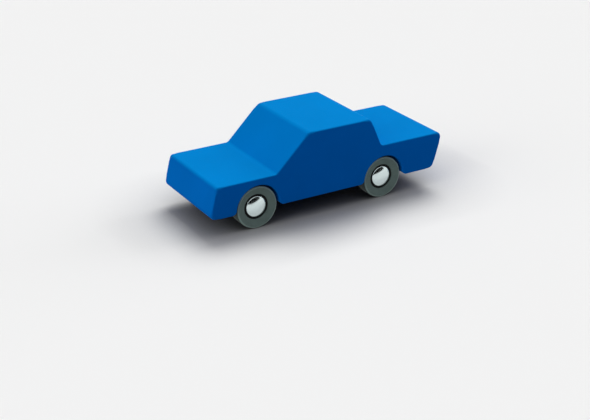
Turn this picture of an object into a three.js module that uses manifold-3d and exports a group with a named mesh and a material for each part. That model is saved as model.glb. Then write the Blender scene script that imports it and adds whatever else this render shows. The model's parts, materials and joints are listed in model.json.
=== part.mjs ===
// A painted wooden toy saloon car with a two-way spring motor on its rear axle.
// Lengths are in millimetres. +X is forward, +Y is the car's left and +Z is up. The tyres stand on Z = 0.

import * as THREE from "three";
import { mergeVertices } from "three/addons/utils/BufferGeometryUtils.js";
import Module from "manifold-3d";

const wasm = await Module();
wasm.setup();

// Wooden body: a saloon's side outline cut from one block
const BODY_LENGTH = 150.5; // nose to tail, before the corners are rounded
const BODY_WIDTH = 55.5;
const AXLE_ABOVE_SILL = 0.9; // wheel centres above the flat underside
const HOOD_RISE = 18.1; // this and the next two are heights above the underside
const TRUNK_RISE = 21.1;
const ROOF_RISE = 38;
const NOSE_RAKE = 4.4; // the nose's top edge lies this far behind its bottom edge
const TAIL_RAKE = 6; // the tail's bottom edge lies this far ahead of its top edge
const HOOD_LENGTH = 35.9;
const WINDSCREEN_RUN = 20.1;
const ROOF_LENGTH = 40.1;
const REAR_WINDOW_RUN = 7.5;
const CORNER_RADIUS = 3; // outer corners of the side outline
const CREASE_RADIUS = 0.6; // inner corners, at the feet of the two windows
const EDGE_RADIUS = 0.75; // sanded edges round both flat sides

// Wheels, set into round arches
const FRONT_AXLE_SETBACK = 29.4; // behind the nose
const WHEELBASE = 81;
const TYRE_RADIUS = 12.1;
const TYRE_WIDTH = 9;
const TYRE_OPENING = 7.2; // radius of the hole that shows the hub
const TYRE_SHOULDER = 0.9;
const TYRE_DISH = 1.1; // how far the tyre's faces fall towards the opening
const TYRE_LIP = 1.2; // thickness of the two lips that hold the tyre on its rim
const LIP_HEIGHT = 1.4;
const LIP_CHAMFER = 0.3;
const WHEEL_INSET = 1.75; // tyre faces behind the body's sides
const WELL_CLEARANCE = 1.5; // behind the tyres
const ARCH_GAP = 1.2; // between tread and arch
const ARCH_FLARE = 2.5; // rounding of the arch's lower corners
const COLLAR_WALL = 0.5; // the hub's collar, which lines the tyre's opening
const HUB_DISH = 2.2; // how deep the hub's face lies behind its rim
const HUB_BOSS_RADIUS = 3;
const CAP_RADIUS = 6.1;
const CAP_WALL = 0.6;
const CAP_SKIRT = 2.4; // straight side of the cap, below its rounded edge
const CAP_EDGE = 0.95;
const CAP_DOME_RADIUS = 12;
const CAP_RISE = 0.3; // top of the dome outside the tyre's face
const AXLE_RADIUS = 1.5;
const AXLE_CHAMFER = 0.3;
const AXLE_END_INSET = 2.5; // axle ends behind the tyre faces

// Spring motor: axle pinion, compound idler and spring barrel
const GEAR_MODULE = 0.6;
const PRESSURE_ANGLE = THREE.MathUtils.degToRad(25);
const ADDENDUM = 0.8; // stub teeth, in modules
const DEDENDUM = 1.1;
const BACKLASH = 0.16;
const AXLE_PINION_TEETH = 10;
const IDLER_WHEEL_TEETH = 20;
const IDLER_PINION_TEETH = 10;
const BARREL_TEETH = 26;
const IDLER_DIRECTION = THREE.MathUtils.degToRad(36); // from the axle, above straight ahead
const BARREL_DIRECTION = THREE.MathUtils.degToRad(-2.6); // from the idler
const GEAR_FACE = 3;
const LAYER_GAP = 0.4; // between the two layers of gears
const END_PLAY = 0.4; // between the gears and the case's side walls
const DRUM_DEPTH = 7;
const DRUM_WALL = 0.8;
const DRUM_BELOW_ROOT = 0.15; // drum wall inside the barrel's tooth roots
const SPRING_STRIP = 0.3;
const SPRING_TURNS = 4.5;
const IDLER_PIN_RADIUS = 1;
const GEAR_BOSS_WALL = 0.9;
const ARBOR_RADIUS = 1.5;
const CASE_WALL = 1.2;
const CASE_CORNER = 4;
const GEAR_CLEARANCE = 0.6; // between tooth tips and the case
const BEARING_LENGTH = 1.6; // bosses that carry the axle outside the case's walls
const BEARING_WALL = 1.4;
const STAKE_RADIUS = 0.5; // pegs that hold the case's cover
const LUG_WIDTH = 9;
const LUG_THICKNESS = 2;
const LUG_REACH = 4.2; // from the case's end to the screw

// Front axle holder, a sleeve with a screwed flange
const SLEEVE_WALL = 1.7;
const FLANGE_WIDTH = 13;
const FLANGE_CORNER = 3;
const FLANGE_MARGIN = 4; // past each screw
const SCREW_OFFSET = 9.5; // holder's screws ahead of and behind the axle
const GUSSET_WIDTH = 1.4;
const GUSSET_SPACING = 8;

// Pan-head wood screws
const SCREW_RADIUS = 1;
const SCREW_LENGTH = 9;
const SCREW_TIP = 1.6;
const HEAD_RADIUS = 2;
const HEAD_HEIGHT = 1.3;
const RECESS_WIDTH = 0.5;
const RECESS_LENGTH = 2.2;
const RECESS_DEPTH = 0.7;

// Clearances
const RUN_GAP = 0.2; // radial, where something turns
const PRESS_GAP = 0.15; // radial, where something is pressed together
const SEAT_GAP = 0.1; // between faces that seat on each other
const RIM_GAP = 0.3; // between a rim and its tyre
const CAP_GAP = 0.3; // between a hub's boss and its cap
const SPRING_GAP = 0.3; // from the mainspring to the arbor and to the drum's wall
const POCKET_GAP = 0.4; // between the wood and what is let into it
const POCKET_CORNER = 2;
const AXLE_SLOT_GAP = 0.8;
const PILOT_GAP = 0.15;
const OVERCUT = 1; // how far a cutter reaches past the face that it opens

// Fineness of round forms
const CHORD_ERROR = 0.08; // between an arc and its chords
const TYRE_SIDES = 32;
const WHEEL_SIDES = 24; // hubs, caps, axles and their bores
const PIN_SIDES = 12; // pins and screws
const STAKE_SIDES = 8;
const FLANK_STEPS = 2;
const EDGE_STEPS = 2;
const STRIP_STEPS = 16; // steps in one turn of the mainspring
const MERGE_DISTANCE = 1e-4;

// Places that follow from the sizes
const noseX = BODY_LENGTH / 2;
const frontAxleX = noseX - FRONT_AXLE_SETBACK;
const rearAxleX = frontAxleX - WHEELBASE;
const axleZ = TYRE_RADIUS;
const sillZ = axleZ - AXLE_ABOVE_SILL;
const sideY = BODY_WIDTH / 2;
const tyreFaceY = sideY - WHEEL_INSET;
const wellFloorY = tyreFaceY - TYRE_WIDTH - WELL_CLEARANCE;
const archRadius = TYRE_RADIUS + ARCH_GAP;
const lugTopZ = sillZ - SEAT_GAP;
const lugBottomZ = lugTopZ - LUG_THICKNESS;

const WOOD_PAINT = new THREE.MeshStandardMaterial({ color: 0x006ed2, roughness: 0.55, metalness: 0 });
const GREY_RUBBER = new THREE.MeshStandardMaterial({ color: 0x6c7e79, roughness: 0.85, metalness: 0 });
const BLACK_PLASTIC = new THREE.MeshStandardMaterial({ color: 0x16181a, roughness: 0.6, metalness: 0 });
const WHITE_PLASTIC = new THREE.MeshStandardMaterial({ color: 0xe6e4dc, roughness: 0.5, metalness: 0 });
const CHROME = new THREE.MeshStandardMaterial({ color: 0xd8dcdc, roughness: 0.12, metalness: 1 });
const STEEL = new THREE.MeshStandardMaterial({ color: 0xa8aaac, roughness: 0.3, metalness: 1 });

// Shapes and solids

const point = (x, y) => new THREE.Vector2(x, y);

const polar = (centre, radius, angle) =>
  point(centre.x + radius * Math.cos(angle), centre.y + radius * Math.sin(angle));

// Points of an arc about a centre, with both ends.
function arcPoints(centre, radius, from, to) {
  const stepAngle = 2 * Math.acos(Math.max(0, 1 - CHORD_ERROR / radius));
  const steps = Math.max(2, Math.ceil(Math.abs(to - from) / stepAngle));
  const step = (to - from) / steps;
  return Array.from({ length: steps + 1 }, (_, i) => polar(centre, radius, from + step * i));
}

// Points that round the corner between two neighbours of an outline that runs anticlockwise.
function cornerPoints(before, corner, after, radius) {
  const back = before.clone().sub(corner).normalize();
  const ahead = after.clone().sub(corner).normalize();
  const halfAngle = Math.acos(back.dot(ahead)) / 2;
  const bisector = back.clone().add(ahead).normalize();
  const centre = corner.clone().addScaledVector(bisector, radius / Math.sin(halfAngle));
  const start = corner.clone().addScaledVector(back, radius / Math.tan(halfAngle)).sub(centre).angle();
  const turn = Math.sign(ahead.cross(back)) * (Math.PI - 2 * halfAngle);
  return arcPoints(centre, radius, start, start + turn);
}

// A list of points for each corner of an outline. Each corner is [x, y, radius].
function roundedCorners(corners) {
  const places = corners.map(([x, y]) => point(x, y));
  return places.map((place, i) =>
    cornerPoints(places.at(i - 1), place, places[(i + 1) % places.length], corners[i][2]),
  );
}

function rectangleOutline(fromX, toX, fromY, toY, radius) {
  return roundedCorners([
    [fromX, fromY, radius],
    [toX, fromY, radius],
    [toX, toY, radius],
    [fromX, toY, radius],
  ]).flat();
}

// A closed geometry as a solid that can be joined and cut.
function solidOf(geometry) {
  const bare = new THREE.BufferGeometry().setIndex(geometry.index);
  bare.setAttribute("position", geometry.getAttribute("position"));
  const merged = mergeVertices(bare, MERGE_DISTANCE);
  return new wasm.Manifold(
    new wasm.Mesh({
      numProp: 3,
      vertProperties: merged.getAttribute("position").array,
      triVerts: new Uint32Array(merged.index.array),
    }),
  );
}

const join = (solids) => solids.reduce((whole, piece) => whole.add(piece));

const cut = (solid, cutters) => cutters.reduce((whole, cutter) => whole.subtract(cutter), solid);

function geometryOf(solid) {
  const { vertProperties, triVerts } = solid.getMesh();
  const geometry = new THREE.BufferGeometry();
  geometry.setAttribute("position", new THREE.BufferAttribute(vertProperties, 3));
  geometry.setIndex(new THREE.BufferAttribute(triVerts, 1));
  geometry.computeVertexNormals();
  return geometry;
}

// A side outline, drawn in X and Z, extruded along Y. A bevel rounds the edges inside the outline.
function sideSlab(outline, fromY, toY, bevel = 0) {
  const geometry = new THREE.ExtrudeGeometry(new THREE.Shape(outline), {
    depth: toY - fromY - 2 * bevel,
    bevelEnabled: bevel > 0,
    bevelSize: bevel,
    bevelOffset: -bevel,
    bevelThickness: bevel,
    bevelSegments: EDGE_STEPS,
  });
  geometry.rotateX(Math.PI / 2);
  geometry.translate(0, toY - bevel, 0);
  return solidOf(geometry);
}

// A plan outline, drawn in X and Y, extruded along Z.
function planSlab(outline, fromZ, toZ) {
  const geometry = new THREE.ExtrudeGeometry(new THREE.Shape(outline), {
    depth: toZ - fromZ,
    bevelEnabled: false,
  });
  geometry.translate(0, 0, fromZ);
  return solidOf(geometry);
}

// A round bar along Y.
function crossBar(x, z, radius, fromY, toY, sides = WHEEL_SIDES) {
  const geometry = new THREE.CylinderGeometry(radius, radius, toY - fromY, sides);
  geometry.translate(x, (fromY + toY) / 2, z);
  return solidOf(geometry);
}

// A round bar along Z, on the car's middle plane.
function upright(x, radius, fromZ, toZ) {
  const geometry = new THREE.CylinderGeometry(radius, radius, toZ - fromZ, PIN_SIDES);
  geometry.rotateX(Math.PI / 2);
  geometry.translate(x, 0, (fromZ + toZ) / 2);
  return solidOf(geometry);
}

// A section turned about Y. It runs anticlockwise, with radius to the right and Y up.
const turned = (section, sides) => new THREE.LatheGeometry(section, sides);

const closed = (section) => [...section, section[0]];

function mesh(name, shape, material) {
  const made = new THREE.Mesh(shape.isBufferGeometry ? shape : geometryOf(shape), material);
  made.name = name;
  return made;
}

// Body

// Corners of the side outline, anticlockwise from the tail's foot.
function bodyCorners() {
  const hoodX = noseX - NOSE_RAKE;
  const windscreenX = hoodX - HOOD_LENGTH;
  const roofX = windscreenX - WINDSCREEN_RUN;
  const rearWindowX = roofX - ROOF_LENGTH;
  const trunkX = rearWindowX - REAR_WINDOW_RUN;
  const tailX = noseX - BODY_LENGTH;
  return [
    [tailX + TAIL_RAKE, sillZ, CORNER_RADIUS],
    [noseX, sillZ, CORNER_RADIUS],
    [hoodX, sillZ + HOOD_RISE, CORNER_RADIUS],
    [windscreenX, sillZ + HOOD_RISE, CREASE_RADIUS],
    [roofX, sillZ + ROOF_RISE, CORNER_RADIUS],
    [rearWindowX, sillZ + ROOF_RISE, CORNER_RADIUS],
    [trunkX, sillZ + TRUNK_RISE, CREASE_RADIUS],
    [tailX, sillZ + TRUNK_RISE, CORNER_RADIUS],
  ];
}

// A wheel arch on the way forward along the underside: a round top between two flared feet.
function archPoints(axleX) {
  const flareZ = sillZ + ARCH_FLARE;
  const reach = Math.sqrt((archRadius + ARCH_FLARE) ** 2 - (flareZ - axleZ) ** 2);
  const lean = Math.atan2(flareZ - axleZ, reach);
  const rearFoot = arcPoints(point(axleX - reach, flareZ), ARCH_FLARE, -Math.PI / 2, -lean);
  const top = arcPoints(point(axleX, axleZ), archRadius, Math.PI - lean, lean);
  const frontFoot = arcPoints(point(axleX + reach, flareZ), ARCH_FLARE, Math.PI + lean, (3 * Math.PI) / 2);
  return [...rearFoot, ...top.slice(1, -1), ...frontFoot];
}

// A slot that opens downwards, with a round top about (x, z).
function slotOutline(x, z, radius) {
  return [
    ...arcPoints(point(x, z), radius, 0, Math.PI),
    point(x - radius, sillZ - OVERCUT),
    point(x + radius, sillZ - OVERCUT),
  ];
}

// The block: a plain core, and two sides with the wheel arches cut through them.
function carBody(motor) {
  const [tailFoot, ...others] = roundedCorners(bodyCorners());
  const plain = [...tailFoot, ...others.flat()];
  const arched = [...tailFoot, ...archPoints(rearAxleX), ...archPoints(frontAxleX), ...others.flat()];
  const core = sideSlab(plain, -wellFloorY, wellFloorY);
  const left = sideSlab(arched, wellFloorY - EDGE_RADIUS, sideY, EDGE_RADIUS);
  const right = sideSlab(arched, -sideY, -(wellFloorY - EDGE_RADIUS), EDGE_RADIUS);

  const pocketReach = motor.bearingY + POCKET_GAP;
  const pocketOutline = rectangleOutline(
    motor.rearX - POCKET_GAP,
    motor.frontX + POCKET_GAP,
    -pocketReach,
    pocketReach,
    POCKET_CORNER,
  );
  const slotReach = wellFloorY + OVERCUT;
  const sleeveSlot = slotOutline(frontAxleX, axleZ, sleeveRadius() + POCKET_GAP);
  const axleSlot = slotOutline(rearAxleX, axleZ, AXLE_RADIUS + AXLE_SLOT_GAP);
  const pilotTop = lugBottomZ + SCREW_LENGTH + OVERCUT;
  return cut(join([core, left, right]), [
    planSlab(pocketOutline, sillZ - OVERCUT, motor.topZ + POCKET_GAP),
    sideSlab(sleeveSlot, -slotReach, slotReach),
    sideSlab(axleSlot, -slotReach, slotReach),
    ...screwPlaces(motor).map(([, x]) => upright(x, SCREW_RADIUS + PILOT_GAP, sillZ - OVERCUT, pilotTop)),
  ]);
}

// Wheels

// A rubber ring with dished faces and two inner lips, its outer shoulder at Y = 0.
function tyreGeometry() {
  const round = TYRE_RADIUS - TYRE_SHOULDER;
  const groove = TYRE_OPENING + LIP_HEIGHT;
  const outerLip = -TYRE_DISH;
  const innerLip = TYRE_DISH - TYRE_WIDTH;
  const section = [
    point(groove, innerLip + TYRE_LIP),
    point(TYRE_OPENING, innerLip + TYRE_LIP),
    point(TYRE_OPENING, innerLip),
    ...arcPoints(point(round, TYRE_SHOULDER - TYRE_WIDTH), TYRE_SHOULDER, -Math.PI / 2, 0),
    ...arcPoints(point(round, -TYRE_SHOULDER), TYRE_SHOULDER, 0, Math.PI / 2),
    point(TYRE_OPENING + LIP_CHAMFER, outerLip),
    point(TYRE_OPENING, outerLip - LIP_CHAMFER),
    point(TYRE_OPENING, outerLip - TYRE_LIP),
    point(groove, outerLip - TYRE_LIP),
  ];
  return turned(closed(section), TYRE_SIDES);
}

// The cap's dome and rounded edge: their centres, and the angle from the wheel's face where they meet.
function capForm() {
  const edgeX = CAP_RADIUS - CAP_EDGE;
  const meeting = Math.acos(edgeX / (CAP_DOME_RADIUS - CAP_EDGE));
  const dome = point(0, CAP_RISE - CAP_DOME_RADIUS);
  return { dome, edge: polar(dome, CAP_DOME_RADIUS - CAP_EDGE, meeting), meeting };
}

// A dished wheel centre: a rim in the tyre's groove, a collar in its opening, and a boss for the cap.
function hubGeometry() {
  const rim = TYRE_OPENING + LIP_HEIGHT - RIM_GAP;
  const collar = TYRE_OPENING - RIM_GAP;
  const collarFront = -(TYRE_DISH + LIP_CHAMFER);
  const rimInset = TYRE_DISH + TYRE_LIP + RIM_GAP;
  const rimFront = -rimInset;
  const rimBack = rimInset - TYRE_WIDTH;
  const dish = rimFront - HUB_DISH;
  const capBoss = CAP_RADIUS - CAP_WALL - CAP_GAP;
  const capSeat = capForm().edge.y - CAP_GAP;
  const bore = AXLE_RADIUS + PRESS_GAP;
  const bossBack = wellFloorY + RUN_GAP - tyreFaceY;
  const section = [
    point(bore, bossBack),
    point(HUB_BOSS_RADIUS, bossBack),
    point(HUB_BOSS_RADIUS, rimBack),
    point(rim, rimBack),
    point(rim, rimFront),
    point(collar, rimFront),
    point(collar, collarFront),
    point(collar - COLLAR_WALL, collarFront),
    point(collar - COLLAR_WALL, dish),
    point(capBoss, dish),
    point(capBoss, capSeat),
    point(bore, capSeat),
  ];
  return turned(closed(section), WHEEL_SIDES);
}

// A pressed cup with a dome that runs into a rounded edge, open towards the hub.
function capGeometry() {
  const { dome, edge, meeting } = capForm();
  const foot = edge.y - CAP_SKIRT;
  const bore = CAP_RADIUS - CAP_WALL;
  const section = [
    point(0, CAP_RISE - CAP_WALL),
    point(bore, edge.y),
    point(bore, foot),
    point(CAP_RADIUS, foot),
    ...arcPoints(edge, CAP_EDGE, 0, meeting),
    ...arcPoints(dome, CAP_DOME_RADIUS, meeting, Math.PI / 2).slice(1, -1),
    point(0, CAP_RISE),
  ];
  return turned(section, WHEEL_SIDES);
}

function axleGeometry() {
  const end = tyreFaceY - AXLE_END_INSET;
  const section = [
    point(0, -end),
    point(AXLE_RADIUS - AXLE_CHAMFER, -end),
    point(AXLE_RADIUS, -end + AXLE_CHAMFER),
    point(AXLE_RADIUS, end - AXLE_CHAMFER),
    point(AXLE_RADIUS - AXLE_CHAMFER, end),
    point(0, end),
  ];
  return turned(section, WHEEL_SIDES);
}

// One axle with a wheel pressed on each end. Each wheel is a hub, a tyre and a cap.
function axleSet(end, axleX) {
  const shapes = { hub: hubGeometry(), tyre: tyreGeometry(), cap: capGeometry() };
  const finishes = { hub: BLACK_PLASTIC, tyre: GREY_RUBBER, cap: CHROME };
  const group = new THREE.Group();
  group.position.set(axleX, 0, axleZ);
  group.add(mesh(`${end}_axle`, axleGeometry(), STEEL));
  for (const [side, direction] of [["left", 1], ["right", -1]]) {
    const wheel = new THREE.Group();
    wheel.position.y = direction * tyreFaceY;
    wheel.rotation.z = direction > 0 ? 0 : Math.PI;
    for (const piece of Object.keys(shapes)) {
      wheel.add(mesh(`${end}_${side}_${piece}`, shapes[piece], finishes[piece]));
    }
    group.add(wheel);
  }
  return group;
}

// Spring motor

const pitchRadius = (teeth) => (teeth * GEAR_MODULE) / 2;
const tipRadius = (teeth) => pitchRadius(teeth) + ADDENDUM * GEAR_MODULE;
const rootRadius = (teeth) => pitchRadius(teeth) - DEDENDUM * GEAR_MODULE;

// Gear outline about the origin, with involute flanks and one tooth pointing along phase.
function gearOutline(teeth, phase) {
  const pitch = pitchRadius(teeth);
  const base = pitch * Math.cos(PRESSURE_ANGLE);
  const root = rootRadius(teeth);
  const tip = tipRadius(teeth);
  const start = Math.max(base, root);
  const involute = (radius) => {
    const roll = Math.acos(Math.min(1, base / radius));
    return Math.tan(roll) - roll;
  };
  const halfAtPitch = Math.PI / (2 * teeth) - BACKLASH / (4 * pitch);
  const flank = Array.from({ length: FLANK_STEPS + 1 }, (_, i) => {
    const radius = start + ((tip - start) * i) / FLANK_STEPS;
    return { radius, half: halfAtPitch + involute(pitch) - involute(radius) };
  });
  if (start > root) flank.unshift({ radius: root, half: flank[0].half });
  const origin = point(0, 0);
  return Array.from({ length: teeth }, (_, i) => phase + (2 * Math.PI * i) / teeth).flatMap((middle) => [
    ...flank.map(({ radius, half }) => polar(origin, radius, middle - half)),
    ...flank.toReversed().map(({ radius, half }) => polar(origin, radius, middle + half)),
  ]);
}

const gear = (teeth, phase, fromY, toY) => sideSlab(gearOutline(teeth, phase), fromY, toY);

// Where the motor's pieces lie: gear centres in X and Z, gear layers in Y, and the case's box.
function motorLayout() {
  const axle = point(rearAxleX, axleZ);
  const idlerReach = pitchRadius(AXLE_PINION_TEETH) + pitchRadius(IDLER_WHEEL_TEETH);
  const barrelReach = pitchRadius(IDLER_PINION_TEETH) + pitchRadius(BARREL_TEETH);
  const idler = polar(axle, idlerReach, IDLER_DIRECTION);
  const barrel = polar(idler, barrelReach, BARREL_DIRECTION);
  const halfInside = (DRUM_DEPTH + 2 * GEAR_FACE + LAYER_GAP + 2 * END_PLAY) / 2;
  const drumY = -halfInside + END_PLAY;
  const barrelY = drumY + DRUM_DEPTH;
  const wheelY = barrelY + GEAR_FACE + LAYER_GAP;
  const around = GEAR_CLEARANCE + CASE_WALL;
  const rings = [
    [axle, tipRadius(AXLE_PINION_TEETH)],
    [idler, tipRadius(IDLER_WHEEL_TEETH)],
    [barrel, tipRadius(BARREL_TEETH)],
  ];
  return {
    axle,
    idler,
    barrel,
    halfInside,
    drumY,
    barrelY,
    wheelY,
    halfOutside: halfInside + CASE_WALL,
    bearingY: halfInside + CASE_WALL + BEARING_LENGTH,
    rearX: Math.min(...rings.map(([centre, radius]) => centre.x - radius)) - around,
    frontX: Math.max(...rings.map(([centre, radius]) => centre.x + radius)) + around,
    bottomZ: Math.min(...rings.map(([centre, radius]) => centre.y - radius)) - around,
    topZ: Math.max(...rings.map(([centre, radius]) => centre.y + radius)) + around,
  };
}

const caseOutline = (motor, inset) =>
  rectangleOutline(
    motor.rearX + inset,
    motor.frontX - inset,
    motor.bottomZ + inset,
    motor.topZ - inset,
    CASE_CORNER - inset,
  );

// Pegs on the middle of the case's wall, one at each corner.
function stakePlaces(motor) {
  const reach = CASE_CORNER - (CASE_CORNER - CASE_WALL / 2) * Math.SQRT1_2;
  return [motor.rearX + reach, motor.frontX - reach].flatMap((x) =>
    [motor.bottomZ + reach, motor.topZ - reach].map((z) => point(x, z)),
  );
}

// Cutters for one side wall: the axle's bearing, the idler's pin and the spring's arbor.
function wallHoles({ axle, idler, barrel }, fromY, toY) {
  return [
    crossBar(axle.x, axle.y, AXLE_RADIUS + RUN_GAP, fromY, toY),
    crossBar(idler.x, idler.y, IDLER_PIN_RADIUS + PRESS_GAP, fromY, toY, PIN_SIDES),
    crossBar(barrel.x, barrel.y, ARBOR_RADIUS + PRESS_GAP, fromY, toY),
  ];
}

const bearingRadius = () => AXLE_RADIUS + RUN_GAP + BEARING_WALL;

// A flat tongue with a round end about its screw, rooted inside the case.
function lug(endX, outwards) {
  const screw = point(endX + outwards * LUG_REACH, 0);
  const rootX = endX - outwards * CASE_CORNER;
  const facing = outwards > 0 ? 0 : Math.PI;
  const outline = [
    ...arcPoints(screw, LUG_WIDTH / 2, facing - Math.PI / 2, facing + Math.PI / 2),
    point(rootX, (outwards * LUG_WIDTH) / 2),
    point(rootX, (-outwards * LUG_WIDTH) / 2),
  ];
  return planSlab(outline, lugBottomZ, lugTopZ);
}

// A tub that holds the gears, open to the left, with a screw lug at each end and pegs for its cover.
function motorCase(motor) {
  const { axle, halfInside, halfOutside, bearingY } = motor;
  const block = join([
    sideSlab(caseOutline(motor, 0), -halfOutside, halfInside),
    crossBar(axle.x, axle.y, bearingRadius(), -bearingY, -halfInside),
    lug(motor.rearX, -1),
    lug(motor.frontX, 1),
  ]);
  const tub = block.subtract(sideSlab(caseOutline(motor, CASE_WALL), -halfInside, halfInside + OVERCUT));
  const stakes = stakePlaces(motor).map(({ x, y }) =>
    crossBar(x, y, STAKE_RADIUS, halfInside - CASE_WALL, halfOutside - SEAT_GAP, STAKE_SIDES),
  );
  return cut(join([tub, ...stakes]), [
    ...wallHoles(motor, -bearingY - OVERCUT, -halfInside + OVERCUT),
    ...lugHoles(motorScrewXs(motor)),
  ]);
}

// The plate that closes the tub, with a hole for each peg.
function motorCover(motor) {
  const { axle, halfInside, halfOutside, bearingY } = motor;
  const seatY = halfInside + SEAT_GAP;
  const plate = join([
    sideSlab(caseOutline(motor, 0), seatY, halfOutside),
    crossBar(axle.x, axle.y, bearingRadius(), seatY, bearingY),
  ]);
  const pegHoles = stakePlaces(motor).map(({ x, y }) =>
    crossBar(x, y, STAKE_RADIUS + PRESS_GAP, seatY - OVERCUT, halfOutside + OVERCUT, STAKE_SIDES),
  );
  return cut(plate, [...pegHoles, ...wallHoles(motor, seatY - OVERCUT, bearingY + OVERCUT)]);
}

// The pinion pressed on the rear axle. A tooth points at the idler.
function axlePinion(motor) {
  return gear(AXLE_PINION_TEETH, IDLER_DIRECTION, motor.wheelY, motor.wheelY + GEAR_FACE).subtract(
    crossBar(0, 0, AXLE_RADIUS + PRESS_GAP, motor.wheelY - OVERCUT, motor.wheelY + GEAR_FACE + OVERCUT),
  );
}

// Wheel, pinion and spacing boss in one moulding.
// A gap of the wheel faces the axle, and a tooth of the pinion faces the barrel.
function idlerGear(motor) {
  const wheelPhase = IDLER_DIRECTION + Math.PI + Math.PI / IDLER_WHEEL_TEETH;
  const bossRadius = IDLER_PIN_RADIUS + RUN_GAP + GEAR_BOSS_WALL;
  return gear(IDLER_WHEEL_TEETH, wheelPhase, motor.wheelY, motor.wheelY + GEAR_FACE)
    .add(gear(IDLER_PINION_TEETH, BARREL_DIRECTION, motor.barrelY, motor.wheelY))
    .add(crossBar(0, 0, bossRadius, motor.drumY, motor.barrelY, PIN_SIDES))
    .subtract(crossBar(0, 0, IDLER_PIN_RADIUS + RUN_GAP, -sideY, sideY, PIN_SIDES));
}

const drumRadius = () => rootRadius(BARREL_TEETH) - DRUM_BELOW_ROOT;

// A toothed disc with a cup for the mainspring behind it. A gap of the teeth faces the idler.
function springBarrel(motor) {
  const phase = BARREL_DIRECTION + Math.PI + Math.PI / BARREL_TEETH;
  const bossY = motor.halfInside - END_PLAY;
  return gear(BARREL_TEETH, phase, motor.barrelY, motor.barrelY + GEAR_FACE)
    .add(crossBar(0, 0, drumRadius(), motor.drumY, motor.barrelY))
    .add(crossBar(0, 0, ARBOR_RADIUS + RUN_GAP + GEAR_BOSS_WALL, motor.barrelY, bossY))
    .subtract(crossBar(0, 0, drumRadius() - DRUM_WALL, motor.drumY - OVERCUT, motor.barrelY))
    .subtract(crossBar(0, 0, ARBOR_RADIUS + RUN_GAP, -sideY, sideY));
}

// A flat steel strip wound in a spiral between the arbor and the drum's wall.
function mainspring(motor) {
  const outer = drumRadius() - DRUM_WALL - SPRING_GAP - SPRING_STRIP / 2;
  const inner = ARBOR_RADIUS + SPRING_GAP + SPRING_STRIP / 2;
  const steps = Math.round(SPRING_TURNS * STRIP_STEPS);
  const edge = (offset) =>
    Array.from({ length: steps + 1 }, (_, i) => {
      const radius = inner + ((outer - inner) * i) / steps;
      return polar(point(0, 0), radius + offset, (2 * Math.PI * SPRING_TURNS * i) / steps);
    });
  const outline = [...edge(SPRING_STRIP / 2), ...edge(-SPRING_STRIP / 2).reverse()];
  return sideSlab(outline, motor.drumY + END_PLAY, motor.barrelY - END_PLAY);
}

function fixedPin(motor, radius, sides) {
  const reach = motor.halfOutside - SEAT_GAP;
  return crossBar(0, 0, radius, -reach, reach, sides);
}

// The motor's pieces, each set on its own centre in the side view.
function springMotor(motor) {
  const group = new THREE.Group();
  const place = (made, centre) => {
    made.position.set(centre.x, 0, centre.y);
    group.add(made);
  };
  group.add(mesh("motor_case", motorCase(motor), BLACK_PLASTIC));
  group.add(mesh("motor_cover", motorCover(motor), BLACK_PLASTIC));
  place(mesh("axle_pinion", axlePinion(motor), WHITE_PLASTIC), motor.axle);
  place(mesh("idler_gear", idlerGear(motor), WHITE_PLASTIC), motor.idler);
  place(mesh("idler_pin", fixedPin(motor, IDLER_PIN_RADIUS, PIN_SIDES), STEEL), motor.idler);
  place(mesh("spring_barrel", springBarrel(motor), WHITE_PLASTIC), motor.barrel);
  place(mesh("mainspring", mainspring(motor), STEEL), motor.barrel);
  place(mesh("spring_arbor", fixedPin(motor, ARBOR_RADIUS, WHEEL_SIDES), STEEL), motor.barrel);
  return group;
}

// Front axle holder

function sleeveRadius() {
  return AXLE_RADIUS + RUN_GAP + SLEEVE_WALL;
}

// A sleeve across the car on a flat flange, stiffened by two gussets.
function frontAxleHolder() {
  const radius = sleeveRadius();
  const reach = SCREW_OFFSET + FLANGE_MARGIN;
  const plate = rectangleOutline(
    frontAxleX - reach,
    frontAxleX + reach,
    -FLANGE_WIDTH / 2,
    FLANGE_WIDTH / 2,
    FLANGE_CORNER,
  );
  const gusset = [
    point(frontAxleX - SCREW_OFFSET, lugBottomZ + SEAT_GAP),
    point(frontAxleX, axleZ - radius),
    point(frontAxleX + SCREW_OFFSET, lugBottomZ + SEAT_GAP),
  ];
  const sleeveEnd = wellFloorY - RUN_GAP;
  const gussets = [-GUSSET_SPACING / 2, GUSSET_SPACING / 2].map((middle) =>
    sideSlab(gusset, middle - GUSSET_WIDTH / 2, middle + GUSSET_WIDTH / 2),
  );
  const block = join([
    planSlab(plate, lugBottomZ, lugTopZ),
    crossBar(frontAxleX, axleZ, radius, -sleeveEnd, sleeveEnd),
    ...gussets,
  ]);
  const bore = crossBar(frontAxleX, axleZ, AXLE_RADIUS + RUN_GAP, -wellFloorY, wellFloorY);
  return cut(block, [bore, ...lugHoles(holderScrewXs())]);
}

// Screws

const motorScrewXs = (motor) => [motor.rearX - LUG_REACH, motor.frontX + LUG_REACH];
const holderScrewXs = () => [frontAxleX - SCREW_OFFSET, frontAxleX + SCREW_OFFSET];

// Cutters for the screws' clearance holes in a lug or a flange.
const lugHoles = (places) =>
  places.map((x) => upright(x, SCREW_RADIUS + RUN_GAP, lugBottomZ - OVERCUT, lugTopZ + OVERCUT));

// Each screw's name and place along the car.
function screwPlaces(motor) {
  const [motorRear, motorFront] = motorScrewXs(motor);
  const [holderRear, holderFront] = holderScrewXs();
  return [
    ["motor_screw_rear", motorRear],
    ["motor_screw_front", motorFront],
    ["holder_screw_rear", holderRear],
    ["holder_screw_front", holderFront],
  ];
}

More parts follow.
